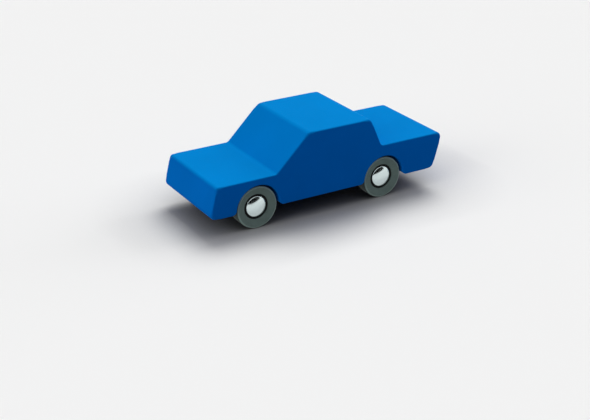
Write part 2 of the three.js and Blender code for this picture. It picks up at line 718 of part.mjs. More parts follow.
// A pan-head screw that points up, with the underside of its head at the origin.
function woodScrew() {
  const section = [
    point(0, -HEAD_HEIGHT),
    point(HEAD_RADIUS - HEAD_HEIGHT / 2, -HEAD_HEIGHT),
    point(HEAD_RADIUS, -HEAD_HEIGHT / 2),
    point(HEAD_RADIUS, 0),
    point(SCREW_RADIUS, 0),
    point(SCREW_RADIUS, SCREW_LENGTH - SCREW_TIP),
    point(0, SCREW_LENGTH),
  ];
  const blank = solidOf(turned(section, PIN_SIDES).rotateX(Math.PI / 2));
  const slots = [
    [RECESS_LENGTH, RECESS_WIDTH],
    [RECESS_WIDTH, RECESS_LENGTH],
  ].map(([x, y]) => solidOf(new THREE.BoxGeometry(x, y, 2 * RECESS_DEPTH).translate(0, 0, -HEAD_HEIGHT)));
  return cut(blank, slots);
}

// The whole car

function toyCar() {
  const motor = motorLayout();
  const car = new THREE.Group();
  car.add(mesh("car_body", carBody(motor), WOOD_PAINT));
  car.add(axleSet("front", frontAxleX), axleSet("rear", rearAxleX));
  car.add(springMotor(motor));
  car.add(mesh("front_axle_holder", frontAxleHolder(), BLACK_PLASTIC));
  for (const [name, x] of screwPlaces(motor)) {
    const screw = mesh(name, woodScrew(), STEEL);
    screw.position.set(x, 0, lugBottomZ - SEAT_GAP);
    car.add(screw);
  }
  return car;
}

export default toyCar();
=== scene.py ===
"""Looks of a painted wooden toy saloon car: its body, wheels, axles and the fittings under it.

The script is in metres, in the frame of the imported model: +X forward, +Y to the car's left, +Z up.
"""

import itertools
import json
import logging
import math
from collections.abc import Iterator
from dataclasses import dataclass
from enum import Enum

import bpy
from mathutils import Matrix, Quaternion, Vector

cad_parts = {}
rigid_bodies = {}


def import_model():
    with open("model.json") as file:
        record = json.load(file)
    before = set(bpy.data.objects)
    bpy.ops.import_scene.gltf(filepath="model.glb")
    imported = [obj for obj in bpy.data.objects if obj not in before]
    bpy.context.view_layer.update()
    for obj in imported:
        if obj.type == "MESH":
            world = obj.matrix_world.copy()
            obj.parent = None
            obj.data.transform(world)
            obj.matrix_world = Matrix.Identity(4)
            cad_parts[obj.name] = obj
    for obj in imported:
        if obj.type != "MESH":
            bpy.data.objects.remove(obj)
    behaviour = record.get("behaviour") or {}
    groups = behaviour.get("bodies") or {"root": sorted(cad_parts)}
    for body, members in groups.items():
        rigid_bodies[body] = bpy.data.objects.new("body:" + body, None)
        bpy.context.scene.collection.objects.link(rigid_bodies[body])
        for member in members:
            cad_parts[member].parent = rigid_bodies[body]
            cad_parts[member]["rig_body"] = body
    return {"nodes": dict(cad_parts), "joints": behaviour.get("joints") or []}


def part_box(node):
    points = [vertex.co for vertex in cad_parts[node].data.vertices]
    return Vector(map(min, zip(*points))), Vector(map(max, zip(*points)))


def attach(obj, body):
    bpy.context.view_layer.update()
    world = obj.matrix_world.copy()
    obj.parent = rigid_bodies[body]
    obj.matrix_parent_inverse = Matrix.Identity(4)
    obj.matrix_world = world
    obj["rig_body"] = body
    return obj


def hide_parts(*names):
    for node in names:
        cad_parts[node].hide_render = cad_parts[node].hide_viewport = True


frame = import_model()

Object = bpy.types.Object
Material = bpy.types.Material
Node = bpy.types.Node
Socket = bpy.types.NodeSocket
Colour = tuple[float, float, float]

LOG = logging.getLogger("toy_car")
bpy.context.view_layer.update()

MM = 0.001
WELD = 0.002 * MM  # points closer than this are one point
ARC_ERROR = 0.004 * MM  # between an arc and its chords
SEED_SIZE = 1 * MM  # the plane that a pen starts from
OVERCUT = 2 * MM  # how far a cutter reaches past the face that it opens
SMOOTH_ANGLE = math.radians(35)
FLAT_WEIGHT = 100  # how far the larger faces decide the shading at an edge, up to 100
ARC_STEPS = 3  # the fewest chords in an arc
LATHE_STEPS = 96
NOISE_RANGE = (0.3, 0.7)  # where nearly all values of a cloudy pattern lie

ORIGIN = Vector((0, 0, 0))

# Turning axes that make a positive angle anticlockwise in each drawing plane
SIDE_VIEW = Vector((0, -1, 0))  # X to the right, Z up
PLAN_VIEW = Vector((0, 0, 1))  # X to the right, Y up
WHEEL_AXIS = Vector((0, 1, 0))


class End(Enum):
    """One end of the car."""

    FRONT = "front"
    REAR = "rear"


class Side(Enum):
    """One side of the car, with the direction of its Y."""

    LEFT = 1
    RIGHT = -1


class WheelPiece(Enum):
    """One of the pieces that make a wheel."""

    TYRE = "tyre"
    HUB = "hub"
    CAP = "cap"


# Modelling


def deselect_all() -> None:
    """Goes back to object mode, with nothing selected."""
    if bpy.context.mode != "OBJECT":
        bpy.ops.object.mode_set(mode="OBJECT")
    bpy.ops.object.select_all(action="DESELECT")


def activate(piece: Object) -> None:
    """Makes a piece the only one that operators act on.

    Args:
        piece: The piece that becomes active and selected.
    """
    deselect_all()
    piece.select_set(True)
    bpy.context.view_layer.objects.active = piece


def open_mesh(piece: Object) -> None:
    """Starts edit mode with everything selected.

    Args:
        piece: The piece that is edited.
    """
    activate(piece)
    bpy.ops.object.mode_set(mode="EDIT")
    bpy.ops.mesh.select_all(action="SELECT")


def apply_modifier(piece: Object, kind: str, **settings: object) -> None:
    """Adds a modifier to a piece and applies it.

    Args:
        piece: The object that is changed.
        kind: Blender's name for the modifier's type.
        **settings: The modifier's own settings.
    """
    activate(piece)
    modifier = piece.modifiers.new(kind.lower(), kind)
    for name, value in settings.items():
        setattr(modifier, name, value)
    bpy.ops.object.modifier_apply(modifier=modifier.name)


def carve(piece: Object, cutter: Object) -> None:
    """Cuts a piece with a cutter, which is then deleted."""
    apply_modifier(piece, "BOOLEAN", object=cutter, operation="DIFFERENCE", solver="EXACT")
    bpy.data.objects.remove(cutter)


def smooth(piece: Object) -> None:
    """Shades a piece smooth over its rounded edges, with its flat faces kept flat.

    Args:
        piece: The finished shape.
    """
    activate(piece)
    bpy.ops.object.shade_smooth_by_angle(angle=SMOOTH_ANGLE)
    apply_modifier(piece, "WEIGHTED_NORMAL", weight=FLAT_WEIGHT, keep_sharp=True)


def copied(pattern: Object, name: str, place: Matrix) -> Object:
    """Copies a piece with its own mesh.

    Args:
        pattern: The piece that is copied.
        name: The copy's name.
        place: The move that takes the pattern's points to the copy's.

    Returns:
        The copy, at the origin, with its place in its mesh.
    """
    twin = bpy.data.objects.new(name, pattern.data.copy())
    twin.data.name = name
    twin.data.transform(place)
    bpy.context.scene.collection.objects.link(twin)
    return twin


@dataclass(frozen=True)
class Corner:
    """A corner of an outline, with the radius that rounds it."""

    place: Vector
    radius: float = 0.0


def with_neighbours(corners: list[Corner]) -> Iterator[tuple[Corner, Corner, Corner]]:
    """Gives each corner of a closed outline between the one before it and the one after it."""
    return zip(corners[-1:] + corners[:-1], corners, corners[1:] + corners[:1])


class Pen:
    """One vertex that draws an outline by extruding and spinning itself."""

    def __init__(self, name: str, start: Vector, axis: Vector) -> None:
        """Puts the pen down.

        Args:
            name: The name of the piece that is drawn.
            start: The outline's first point.
            axis: The axis about which a positive angle turns the pen.
        """
        deselect_all()
        bpy.ops.mesh.primitive_plane_add(size=SEED_SIZE)
        self.piece = bpy.context.active_object
        self.piece.name = name
        self.piece.data.name = name
        bpy.ops.object.mode_set(mode="EDIT")
        bpy.ops.mesh.select_mode(type="VERT")
        bpy.ops.mesh.select_all(action="SELECT")
        bpy.ops.mesh.merge(type="CENTER")
        bpy.ops.transform.translate(value=start)
        self.axis = axis
        self.first = start.copy()
        self.at = start.copy()

    def line(self, end: Vector) -> None:
        """Draws a straight line, unless the pen is there already.

        Args:
            end: The point that the line goes to.
        """
        if (end - self.at).length > WELD:
            bpy.ops.mesh.extrude_vertices_move(TRANSFORM_OT_translate={"value": end - self.at})
            self.at = end.copy()

    def arc(self, centre: Vector, angle: float) -> None:
        """Draws an arc.

        Args:
            centre: The arc's centre.
            angle: How far the pen turns about it, in radians.
        """
        reach = self.at - centre
        step = 2 * math.acos(1 - ARC_ERROR / reach.length)
        count = max(ARC_STEPS, math.ceil(abs(angle) / step))
        # The operator counts its angle the other way round
        bpy.ops.mesh.spin(steps=count, angle=-angle, center=centre, axis=self.axis)
        self.at = centre + Matrix.Rotation(angle, 3, self.axis) @ reach

    def close(self) -> None:
        """Draws back to the first point and joins the ends."""
        self.line(self.first)
        self.join()

    def join(self) -> None:
        """Merges the points that lie on each other, with everything selected."""
        bpy.ops.mesh.select_all(action="SELECT")
        bpy.ops.mesh.remove_doubles(threshold=WELD)

    def slab(self, along: Vector) -> Object:
        """Fills the closed outline and extrudes it.

        Args:
            along: The way from the outline to the slab's far face.

        Returns:
            The slab.
        """
        bpy.ops.mesh.edge_face_add()
        bpy.ops.mesh.extrude_region_move(TRANSFORM_OT_translate={"value": along})
        return self.lift()

    def lathe(self, centre: Vector, axis: Vector, steps: int = LATHE_STEPS) -> Object:
        """Turns the outline into a round piece.

        Args:
            centre: A point on the axis.
            axis: The axis that the outline turns about.
            steps: How many sides the round has.

        Returns:
            The round piece.
        """
        bpy.ops.mesh.select_all(action="SELECT")
        bpy.ops.mesh.spin(steps=steps, angle=math.tau, center=centre, axis=axis)
        self.join()
        return self.lift()

    def lift(self) -> Object:
        """Turns all faces outwards and leaves edit mode.

        Returns:
            The piece that was drawn.
        """
        bpy.ops.mesh.select_all(action="SELECT")
        bpy.ops.mesh.normals_make_consistent(inside=False)
        bpy.ops.object.mode_set(mode="OBJECT")
        return self.piece


def fillet(before: Corner, corner: Corner, after: Corner, axis: Vector) -> tuple[Vector, Vector, float]:
    """Works out the arc that rounds a corner.

    Args:
        before: The outline's corner before this one.
        corner: The corner that is rounded.
        after: The outline's corner after this one.
        axis: The axis about which a positive angle turns.

    Returns:
        The arc's first point, its centre, and the angle that it turns.
    """
    back = (before.place - corner.place).normalized()
    ahead = (after.place - corner.place).normalized()
    half = back.angle(ahead) / 2
    start = corner.place + back * (corner.radius / math.tan(half))
    centre = corner.place + (back + ahead).normalized() * (corner.radius / math.sin(half))
    turn = math.copysign(math.pi - 2 * half, axis.dot(ahead.cross(back)))
    return start, centre, turn


def rounded_outline(name: str, corners: list[Corner], axis: Vector) -> Pen:
    """Draws a closed outline with rounded corners.

    Args:
        name: The name of the piece that is drawn.
        corners: The outline's corners in order.
        axis: The axis about which a positive angle turns.

    Returns:
        The pen, with its outline closed.
    """
    fillets = [fillet(*trio, axis) for trio in with_neighbours(corners)]
    pen = Pen(name, fillets[0][0], axis)
    for start, centre, turn in fillets:
        pen.line(start)
        if (start - centre).length > WELD:
            pen.arc(centre, turn)
    pen.close()
    return pen


# Finishes


def shaded(colour: Colour, factor: float) -> Colour:
    """Makes a colour darker or lighter by a factor."""
    return tuple(channel * factor for channel in colour)


class NodeSheet:
    """A material's nodes, with short ways to add and join them."""

    def __init__(self, name: str) -> None:
        """Starts a material with its principled shader.

        Args:
            name: The material's name.
        """
        self.material = bpy.data.materials.new(name)
        self.material.use_nodes = True
        self.tree = self.material.node_tree
        self.shader = self.tree.nodes["Principled BSDF"]

    def add(self, kind: str, **settings: object) -> Node:
        """Adds a node.

        Args:
            kind: Blender's name for the node's type.
            **settings: The node's own options.

        Returns:
            The node.
        """
        node = self.tree.nodes.new(kind)
        for name, value in settings.items():
            setattr(node, name, value)
        return node

    def set(self, **values: object) -> None:
        """Sets sockets of the shader itself, with underscores for the spaces in their names."""
        for name, value in values.items():
            self.shader.inputs[name.replace("_", " ")].default_value = value

    def feed(self, name: str, source: Socket) -> None:
        """Joins a socket to one of the shader's inputs."""
        self.tree.links.new(source, self.shader.inputs[name])

    def place(self, centre: Vector = ORIGIN, stretch: tuple[float, float, float] = (1, 1, 1)) -> Socket:
        """Gives places on the piece.

        Args:
            centre: The point that becomes zero.
            stretch: Factors for X, Y and Z: a small one draws the pattern out that way.

        Returns:
            The socket with the place.
        """
        where = self.add("ShaderNodeTexCoord")
        mapping = self.add("ShaderNodeMapping", vector_type="POINT")
        mapping.inputs["Location"].default_value = -centre * Vector(stretch)
        mapping.inputs["Scale"].default_value = stretch
        self.tree.links.new(where.outputs["Object"], mapping.inputs["Vector"])
        return mapping.outputs["Vector"]

    def noise(self, where: Socket, grain: float, detail: float = 3.0) -> Socket:
        """Gives a cloudy pattern from 0 to 1.

        Args:
            where: The socket with the place.
            grain: The size of one cloud, in metres.
            detail: How many finer patterns lie on it.

        Returns:
            The socket with the value.
        """
        node = self.add("ShaderNodeTexNoise")
        node.inputs["Scale"].default_value = 1 / grain
        node.inputs["Detail"].default_value = detail
        self.tree.links.new(where, node.inputs["Vector"])
        return node.outputs["Fac"]

    def reach(self, centre: Vector) -> Socket:
        """Gives the distance from a wheel's axis.

        Args:
            centre: A point on the axis, which runs along Y.

        Returns:
            The socket with the distance, in metres.
        """
        node = self.add("ShaderNodeVectorMath", operation="LENGTH")
        self.tree.links.new(self.place(centre, (1, 0, 1)), node.inputs[0])
        return node.outputs["Value"]

    def band(self, value: Socket, middle: float, half_width: float) -> Socket:
        """Tells where a value lies in a band.

        Args:
            value: The socket with the value.
            middle: The middle of the band.
            half_width: How far the band reaches to both sides.

        Returns:
            The socket with 1 in the band and 0 elsewhere.
        """
        node = self.add("ShaderNodeMath", operation="COMPARE")
        self.tree.links.new(value, node.inputs[0])
        node.inputs[1].default_value = middle
        node.inputs[2].default_value = half_width
        return node.outputs[0]

    def spread(self, value: Socket, low: float, high: float) -> Socket:
        """Takes a cloudy pattern to another range.

        Args:
            value: The socket with the pattern.
            low: What its low values become.
            high: What its high values become.

        Returns:
            The socket with the new value.
        """
        node = self.add("ShaderNodeMapRange", clamp=True)
        names = ("From Min", "From Max", "To Min", "To Max")
        for name, number in zip(names, (*NOISE_RANGE, low, high)):
            node.inputs[name].default_value = number
        self.tree.links.new(value, node.inputs["Value"])
        return node.outputs["Result"]

    def sum(self, first: Socket, second: Socket, share: float) -> Socket:
        """Adds a share of one value to another.

        Args:
            first: The socket with the value that is kept whole.
            second: The socket with the value that is added.
            share: How much of it is added.

        Returns:
            The socket with the sum.
        """
        node = self.add("ShaderNodeMath", operation="MULTIPLY_ADD")
        self.tree.links.new(second, node.inputs[0])
        node.inputs[1].default_value = share
        self.tree.links.new(first, node.inputs[2])
        return node.outputs[0]

    def tones(self, value: Socket, low: Colour, high: Colour) -> Socket:
        """Blends two colours by a value.

        Args:
            value: The socket with the value, from 0 to 1.
            low: The colour at 0.
            high: The colour at 1.

        Returns:
            The socket with the colour.
        """
        node = self.add("ShaderNodeMix", data_type="RGBA")
        node.inputs["A"].default_value = (*low, 1)
        node.inputs["B"].default_value = (*high, 1)
        self.tree.links.new(value, node.inputs["Factor"])
        return node.outputs["Result"]

    def patches(self, pattern: Socket, colour: Colour, variation: float) -> Socket:
        """Gives a colour that a cloudy pattern makes a little darker and lighter.

        Args:
            pattern: The socket with the pattern.
            colour: The colour in the middle.
            variation: How much darker and lighter it gets, as a share.

        Returns:
            The socket with the colour.
        """
        tones = (shaded(colour, 1 - variation), shaded(colour, 1 + variation))
        return self.tones(self.spread(pattern, 0, 1), *tones)

    def blend(self, value: Socket, low: Socket, high: Socket) -> Socket:
        """Blends two sockets' colours by a value.

        Args:
            value: The socket with the value, from 0 to 1.
            low: The socket with the colour at 0.
            high: The socket with the colour at 1.

        Returns:
            The socket with the colour.
        """
        node = self.add("ShaderNodeMix", data_type="RGBA")
        for name, source in (("Factor", value), ("A", low), ("B", high)):
            self.tree.links.new(source, node.inputs[name])
        return node.outputs["Result"]

    def mark(self, name: str) -> Socket:
        """Gives what an attribute of the piece's own mesh holds."""
        return self.add("ShaderNodeAttribute", attribute_name=name).outputs["Fac"]

    def relief(self, height: Socket, depth: float) -> None:
        """Gives the surface a fine relief.

        Args:
            height: The socket with the height, from 0 to 1.
            depth: The depth of the relief, in metres.
        """
        node = self.add("ShaderNodeBump")
        node.inputs["Strength"].default_value = 1.0
        node.inputs["Distance"].default_value = depth
        self.tree.links.new(height, node.inputs["Height"])
        self.feed("Normal", node.outputs["Normal"])


@dataclass(frozen=True)
class SatinPaint:
    """Blue satin paint on sanded wood: an even coat, with the grain just felt through it, and painted
    light that colours faces which look up a little greener.
    """

    slot: str = "blue_paint"
    name: str = "satin_blue_paint"
    colour: Colour = (0.0, 0.156, 0.665)
    painted_light_top_colour: Colour = (0.0, 0.227, 0.645)  # painted light: the greener colour that faces looking up are given
    top_mark: str = "looks_up"  # the attribute that holds how far a face looks up, from 0 to 1, which sets its share of the painted light
    gloss: float = 0.004
    gloss_tint: Colour = (0.0, 1.0, 0.8)
    sheen: float = 0.12
    sheen_tint: Colour = (0.0, 0.8, 1.0)
    sheen_spread: float = 0.35
    patch: float = 30 * MM  # size of the faint patches in the coat
    variation: float = 0.04
    roughness: tuple[float, float] = (0.5, 0.6)
    grain: tuple[float, float] = (40 * MM, 2.5 * MM)  # length and width of the wood's figure
    spray: float = 1.2 * MM  # size of the coat's own ripples
    spray_share: float = 0.5  # how much of the ripples the relief holds
    depth: float = 0.004 * MM

    def material(self) -> Material:
        """Makes the paint.

        Returns:
            The material.
        """
        sheet = NodeSheet(self.name)
        cloud = sheet.noise(sheet.place(), self.patch)
        length, width = self.grain
        grain = sheet.noise(sheet.place(stretch=(width / length, 1, 1)), width, detail=2)
        spray = sheet.noise(sheet.place(), self.spray, detail=1)
        # Faces that look up are blended to the greener top colour, which is painted light, not a second
        # coat
        side = sheet.patches(cloud, self.colour, self.variation)
        top = sheet.patches(cloud, self.painted_light_top_colour, self.variation)
        sheet.feed("Base Color", sheet.blend(sheet.mark(self.top_mark), side, top))
        sheet.feed("Roughness", sheet.spread(spray, *self.roughness))
        sheet.relief(sheet.sum(grain, spray, self.spray_share), self.depth)
        sheet.set(Specular_IOR_Level=self.gloss, Specular_Tint=(*self.gloss_tint, 1))
        sheet.set(Sheen_Weight=self.sheen, Sheen_Tint=(*self.sheen_tint, 1))
        sheet.set(Sheen_Roughness=self.sheen_spread)
        return sheet.material


@dataclass(frozen=True)
class Rubber:
    """Grey moulded rubber, matt, with a fine grain, a painted highlight on smoother shoulders and painted
    shade on the tread.
    """

    centre: Vector
    name: str
    slot: str = "grey_rubber"
    colour: Colour = (0.19, 0.265, 0.243)
    light: float = 1.8  # how much lighter the painted highlight makes the shoulders
    patch: float = 3 * MM  # size of the faint patches in the grey
    variation: float = 0.1
    grain_share: float = 0.2  # how much of the fine grain the patches hold
    shoulder: tuple[float, float] = (11.55 * MM, 0.4 * MM)  # radius and half width of the shoulder ring that has the painted highlight and is smoother
    highlight_share: float = 0.8  # how much of the lighter tone the painted highlight gives the shoulder ring
    tread: tuple[float, float] = (12.1 * MM, 0.12 * MM)  # radius and half width of the tread ring with painted shade
    painted_tread_shade: tuple[float, float] = (0.24, 0.34)  # painted shade: how much of the grey the tread keeps, from and to
    gloss: float = 0.15
    roughness: tuple[float, float] = (0.62, 0.78)
    polish: float = -0.3  # how much smoother the shoulder ring is
    grain: float = 0.25 * MM
    depth: float = 0.012 * MM

    def material(self) -> Material:
        """Makes the rubber.

        Returns:
            The material.
        """
        sheet = NodeSheet(self.name)
        cloud = sheet.noise(sheet.place(), self.patch)
        grain = sheet.noise(sheet.place(), self.grain, detail=2)
        reach = sheet.reach(self.centre)
        highlight_and_polish_band = sheet.band(reach, *self.shoulder)
        patchy = sheet.spread(sheet.sum(cloud, grain, self.grain_share), 0, 2 * self.variation)
        # The shoulder ring is made lighter: a painted highlight on the rounded edge
        tones = (shaded(self.colour, 1 - self.variation), shaded(self.colour, self.light))
        face = sheet.tones(sheet.sum(patchy, highlight_and_polish_band, self.highlight_share), *tones)
        # The tread is darkened: painted shade, where the body shadows it
        tread = sheet.tones(sheet.spread(cloud, 0, 1), *(shaded(self.colour, painted_tread_shade) for painted_tread_shade in self.painted_tread_shade))
        sheet.feed("Base Color", sheet.blend(sheet.band(reach, *self.tread), face, tread))
        matt = sheet.spread(cloud, *self.roughness)
        sheet.feed("Roughness", sheet.sum(matt, highlight_and_polish_band, self.polish))
        sheet.relief(grain, self.depth)
        sheet.set(Specular_IOR_Level=self.gloss)
        return sheet.material


@dataclass(frozen=True)
class MouldedPlastic:
    """Moulded plastic with the fine matt texture of its mould."""

    slot: str
    name: str
    colour: Colour
    variation: float = 0.08
    patch: float = 6 * MM  # size of the faint patches in the colour
    gloss: float = 0.12
    roughness: tuple[float, float] = (0.4, 0.55)
    grain: float = 0.3 * MM
    depth: float = 0.006 * MM

    def material(self) -> Material:
        """Makes the plastic.

        Returns:
            The material.
        """
        sheet = NodeSheet(self.name)
        cloud = sheet.noise(sheet.place(), self.patch)
        grain = sheet.noise(sheet.place(), self.grain)
        sheet.feed("Base Color", sheet.patches(cloud, self.colour, self.variation))
        sheet.feed("Roughness", sheet.spread(grain, *self.roughness))
        sheet.relief(grain, self.depth)
        sheet.set(Specular_IOR_Level=self.gloss)
        return sheet.material


@dataclass(frozen=True)
class Chrome:
    """Polished plating over a spun cap, with faint rings about the wheel's axis."""

    centre: Vector
    name: str
    slot: str = "chrome"
    colour: Colour = (0.71, 0.82, 0.82)
    variation: float = 0.03
    patch: float = 2 * MM  # size of the faint patches in the plating
    roughness: tuple[float, float] = (0.1, 0.16)
    ring: float = 0.25 * MM  # width of one ring
    ring_share: float = 0.3  # how much of the rings the roughness holds
    depth: float = 0.0004 * MM

    def material(self) -> Material:
        """Makes the plating.

        Returns:
            The material.
        """
        sheet = NodeSheet(self.name)
        rings = sheet.add("ShaderNodeTexNoise", noise_dimensions="1D")
        rings.inputs["Scale"].default_value = 1 / self.ring
        sheet.tree.links.new(sheet.reach(self.centre), rings.inputs["W"])
        cloud = sheet.noise(sheet.place(), self.patch)
        sheet.feed("Base Color", sheet.patches(cloud, self.colour, self.variation))
        streaks = sheet.sum(cloud, rings.outputs["Fac"], self.ring_share)
        sheet.feed("Roughness", sheet.spread(streaks, *self.roughness))
        sheet.relief(rings.outputs["Fac"], self.depth)
        sheet.set(Metallic=1.0)
        return sheet.material


@dataclass(frozen=True)
class DrawnSteel:
    """Drawn steel, with fine lines along its length."""

    slot: str = "steel"
    name: str = "drawn_steel"
    colour: Colour = (0.42, 0.42, 0.43)
    variation: float = 0.08
    patch: float = 4 * MM  # size of the faint patches in the steel
    roughness: tuple[float, float] = (0.24, 0.4)
    line: tuple[float, float] = (12 * MM, 0.12 * MM)  # length and width of one line
    depth: float = 0.001 * MM

    def material(self) -> Material:
        """Makes the steel.

        Returns:
            The material.
        """
        sheet = NodeSheet(self.name)
        length, width = self.line
        lines = sheet.noise(sheet.place(stretch=(1, width / length, 1)), width, detail=2)
        cloud = sheet.noise(sheet.place(), self.patch)
        sheet.feed("Base Color", sheet.patches(cloud, self.colour, self.variation))
        sheet.feed("Roughness", sheet.spread(lines, *self.roughness))
        sheet.relief(lines, self.depth)
        sheet.set(Metallic=1.0)
        return sheet.material


Finish = SatinPaint | Rubber | MouldedPlastic | Chrome | DrawnSteel


class Workshop:
    """Hands out each finish's material, made once, and sets pieces on the frame."""

    def __init__(self) -> None:
        """Starts with no materials."""
        self.made: dict[str, Material] = {}

    def material(self, finish: Finish) -> Material:
        """Gives a finish's material, which is made when it is first asked for.

        Args:
            finish: The finish, known by its own values.

        Returns:
            The material.
        """
        key = repr(finish)
        if key not in self.made:
            self.made[key] = finish.material()
        return self.made[key]

    def stand_for(self, piece: Object, node: str, finish: Finish) -> None:
        """Dresses a piece and lets it stand for a node of the frame.

        Args:
            piece: The finished piece.
            node: The node that it stands for, and whose body it rides on.
            finish: The piece's finish.
        """
        piece.data.materials.clear()
        piece.data.materials.append(self.material(finish))
        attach(piece, frame["nodes"][node]["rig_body"])
        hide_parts(node)
        LOG.info("%s stands for %s, %d faces", piece.name, node, len(piece.data.polygons))

    def dress(self, node: str, finish: Finish) -> None:
        """Gives a finish to a node of the frame that keeps its shape.

        Args:
            node: The node's name.
            finish: The node's finish.
        """
        for slot in frame["nodes"][node].material_slots:
            slot.material = self.material(finish)
        LOG.info("%s keeps its shape", node)


BLACK_PLASTIC = MouldedPlastic("black_plastic", "black_moulded_plastic", (0.013, 0.013, 0.014))
GEAR_PLASTIC = MouldedPlastic("white_plastic", "natural_gear_plastic", (0.79, 0.77, 0.72), variation=0.03)


def axle_place(end: End) -> Vector:
    """Gives the middle of an axle."""
    joint = next(j for j in frame["joints"] if j["name"] == f"{end.value}_axle_spin")
    return Vector(joint["pos_m"])


# Body


@dataclass
class WoodenBody:
    """A block of wood sawn to a saloon's side outline, with round wheel wells, sanded and painted.

    Rises are heights above the flat underside.
    """

    length: float = 150.5 * MM
    hood_rise: float = 18.1 * MM
    trunk_rise: float = 21.1 * MM
    roof_rise: float = 38 * MM
    nose_rake: float = 4.4 * MM
    tail_rake: float = 6 * MM
    hood_length: float = 35.9 * MM
    windscreen_run: float = 20.1 * MM
    roof_length: float = 40.1 * MM
    rear_window_run: float = 7.5 * MM
    corner_radius: float = 3 * MM
    hood_radius: float = 1.8 * MM
    roof_radius: float = 3.8 * MM
    crease_radius: float = 2.7 * MM
    edge_radius: float = 0.6 * MM
    edge_steps: int = 5
    sanded_radius: float = 1.5 * MM  # of the side edges where they pass an outer corner
    sanded_reach: float = 3 * MM  # from an outer corner's arc to where its wider rounding has run out
    sanded_steps: int = 5
    arch_gap: float = 1.2 * MM
    arch_flare: float = 2.5 * MM
    flare_dip: float = 0.02 * MM  # the flares run this far below the underside, for a clean cut
    well_clearance: float = 1.5 * MM
    pocket_gap: float = 0.4 * MM
    pocket_corner: float = 2 * MM
    sleeve_slot: float = 3.8 * MM  # half the width of the slot for the front axle's sleeve
    axle_slot: float = 2.3 * MM  # half the width of the slot for the rear axle

    def __post_init__(self) -> None:
        """Takes the block's box and the tyres' size from the frame."""
        self.outer_corners: list[tuple[Vector, float]] = []  # each with the length from it to its arc
        low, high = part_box("car_body")
        self.sill = low.z
        self.right, self.left = low.y, high.y
        tyre_low, tyre_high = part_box("front_left_tyre")
        self.well_floor = tyre_low.y - self.well_clearance
        self.arch_radius = (tyre_high.z - tyre_low.z) / 2 + self.arch_gap

    def corners(self) -> list[Corner]:
        """Works out the side outline.

        Returns:
            The corners on the right side, anticlockwise from the tail's foot.
        """
        nose = self.length / 2
        hood = nose - self.nose_rake
        windscreen = hood - self.hood_length
        roof = windscreen - self.windscreen_run
        rear_window = roof - self.roof_length
        trunk = rear_window - self.rear_window_run
        tail = nose - self.length
        points = [
            (tail + self.tail_rake, 0, self.corner_radius),
            (nose, 0, self.corner_radius),
            (hood, self.hood_rise, self.hood_radius),
            (windscreen, self.hood_rise, self.crease_radius),
            (roof, self.roof_rise, self.roof_radius),
            (rear_window, self.roof_rise, self.corner_radius),
            (trunk, self.trunk_rise, self.crease_radius),
            (tail, self.trunk_rise, self.corner_radius),
        ]
        return [Corner(Vector((x, self.right, self.sill + rise)), radius) for x, rise, radius in points]

    def eased_outline(self) -> list[Corner]:
        """Adds points beside each outer corner, over which its wider rounding runs out.

        The outer corners are noted for sanding.

        Returns:
            The corners and the points in order.
        """
        outline: list[Corner] = []
        for before, corner, after in with_neighbours(self.corners()):
            back = (before.place - corner.place).normalized()
            ahead = (after.place - corner.place).normalized()
            start, _, turn = fillet(before, corner, after, SIDE_VIEW)
            beside: list[float] = []
            if turn > 0:  # an outer corner
                tangent = (start - corner.place).length
                self.outer_corners.append((corner.place, tangent))
                steps = range(1, self.sanded_steps + 1)
                beside = [tangent + self.sanded_reach * step / self.sanded_steps for step in steps]
            outline += [Corner(corner.place + back * reach) for reach in reversed(beside)]
            outline.append(corner)
            outline += [Corner(corner.place + ahead * reach) for reach in beside]
        return outline

    def block(self) -> Object:
        """Saws the block to its outline."""
        pen = rounded_outline("painted_block", self.eased_outline(), SIDE_VIEW)
        return pen.slab(Vector((0, self.left - self.right, 0)))

    def well_cutter(self, end: End, side: Side) -> Object:
        """Makes the cutter of one wheel well: a round top between two flared feet.

        Args:
            end: The axle's end of the car.
            side: The side that the well opens to.

        Returns:
            The cutter.
        """
        floor = side.value * self.well_floor
        axle = axle_place(end)
        axle.y = floor
        flare_z = self.sill + self.arch_flare - self.flare_dip
        reach = math.sqrt((self.arch_radius + self.arch_flare) ** 2 - (flare_z - axle.z) ** 2)
        lean = math.atan2(flare_z - axle.z, reach)
        foot_turn = math.pi / 2 - lean
        rear = Vector((axle.x - reach, floor, flare_z))
        front = Vector((axle.x + reach, floor, flare_z))
        drop = Vector((0, 0, -self.arch_flare))
        pen = Pen("well_cutter", rear + drop, SIDE_VIEW)
        pen.arc(rear, foot_turn)
        pen.arc(axle, 2 * lean - math.pi)
        pen.arc(front, foot_turn)
        pen.line(front + 2 * drop)
        pen.line(rear + 2 * drop)
        pen.close()
        return pen.slab(Vector((0, side.value * (self.left - self.well_floor + OVERCUT), 0)))

    def slot_cutter(self, end: End, radius: float) -> Object:
        """Makes the cutter of an axle's slot, round at its top and open downwards.

        Args:
            end: The axle's end of the car.
            radius: Half the slot's width.

        Returns:
            The cutter.
        """
        axle = axle_place(end)
        axle.y = -self.well_floor - OVERCUT
        across = Vector((radius, 0, 0))
        drop = Vector((0, 0, self.sill - axle.z - OVERCUT))
        pen = Pen("slot_cutter", axle - across + drop, SIDE_VIEW)
        pen.line(axle - across)
        pen.arc(axle, -math.pi)
        pen.line(axle + across + drop)
        pen.close()
        return pen.slab(Vector((0, -2 * axle.y, 0)))

    def pocket_cutter(self) -> Object:
        """Makes the cutter of the pocket that takes the motor.

        Returns:
            The cutter.
        """
        low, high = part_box("motor_cover")
        gap = self.pocket_gap
        reach = high.y + gap
        mouth = self.sill - OVERCUT
        places = [
            (low.x - gap, -reach),
            (high.x + gap, -reach),
            (high.x + gap, reach),
            (low.x - gap, reach),
        ]
        corners = [Corner(Vector((x, y, mouth)), self.pocket_corner) for x, y in places]
        pen = rounded_outline("pocket_cutter", corners, PLAN_VIEW)
        return pen.slab(Vector((0, 0, high.z + gap - mouth)))

